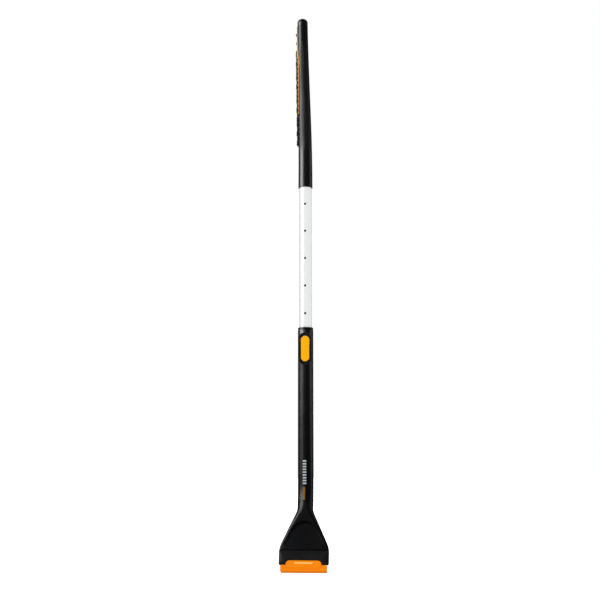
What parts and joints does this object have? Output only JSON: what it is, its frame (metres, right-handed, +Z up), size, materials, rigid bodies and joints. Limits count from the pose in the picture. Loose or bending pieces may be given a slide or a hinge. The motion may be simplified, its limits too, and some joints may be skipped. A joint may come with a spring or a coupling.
{
  "type": "long-handled floor scraper",
  "caption": "Long-handled floor scraper with a telescopic handle, a lock button, a padded grip and a push-on cover over its straight blade.",
  "frame": {"origin": "centre of the part's outline on the floor, level with the lowest edge of the blade cover", "axes": "+Z runs up the straight shaft and tube, -Y is the side with the lock button, +X is across the blade"},
  "size_m": [0.1028, 0.0956, 1.234],
  "materials": {
    "shaft_plastic": "fine moulded texture, satin",
    "plate_plastic": "fine moulded texture, satin",
    "bush_plastic": "plain moulded",
    "grip_plastic": "smooth satin",
    "button_yellow": "smooth",
    "cover_orange": "smooth",
    "inlay_orange": "soft-touch",
    "stud_rubber": "soft-touch",
    "tube_white": "gloss enamel",
    "blade_steel": "ground",
    "bright_steel": "zinc plated",
    "print_white": "printed",
    "print_orange": "printed"
  },
  "bodies": {
    "handle": {"lower_body": "shaft_plastic", "collar_ring": "shaft_plastic", "guide_bush": "bush_plastic", "button_pivot_pin": "bright_steel", "button_spring": "bright_steel", "front_plate": "plate_plastic", "scraper_blade": "blade_steel", "clamp_screws": "bright_steel", "clamp_washers": "bright_steel", "clamp_nuts": "bright_steel", "rear_plate": "plate_plastic", "rear_plate_screws": "bright_steel", "stripe_white": "print_white", "stripe_orange": "print_orange"},
    "upper": {"telescopic_tube": "tube_white", "tube_end_plug": "bush_plastic", "grip_core": "grip_plastic", "grip_cap": "grip_plastic", "grip_bush": "bush_plastic", "grip_inlay": "inlay_orange", "grip_studs": "stud_rubber"},
    "button": {"lock_button": "button_yellow", "lock_pin": "bright_steel"},
    "cover": {"blade_cover": "cover_orange"}
  },
  "joints": [
    {"name": "telescope_slide", "type": "slide", "parent": "handle", "child": "upper", "axis": [0, 0, 1], "range_m": [-0.3075, 0]},
    {"name": "button_rock", "type": "hinge", "parent": "handle", "child": "button", "pos_m": [0, 0.01143, 0.462], "axis": [1, 0, 0], "range_deg": [0, 4], "stiffness_Nm_per_rad": 2.5, "springref_deg": -2.29, "deforming": ["button_spring"]},
    {"name": "cover_slide", "type": "slide", "parent": "handle", "child": "cover", "axis": [0, -0.4067, -0.9135], "range_m": [0, 0.034]}
  ]
}
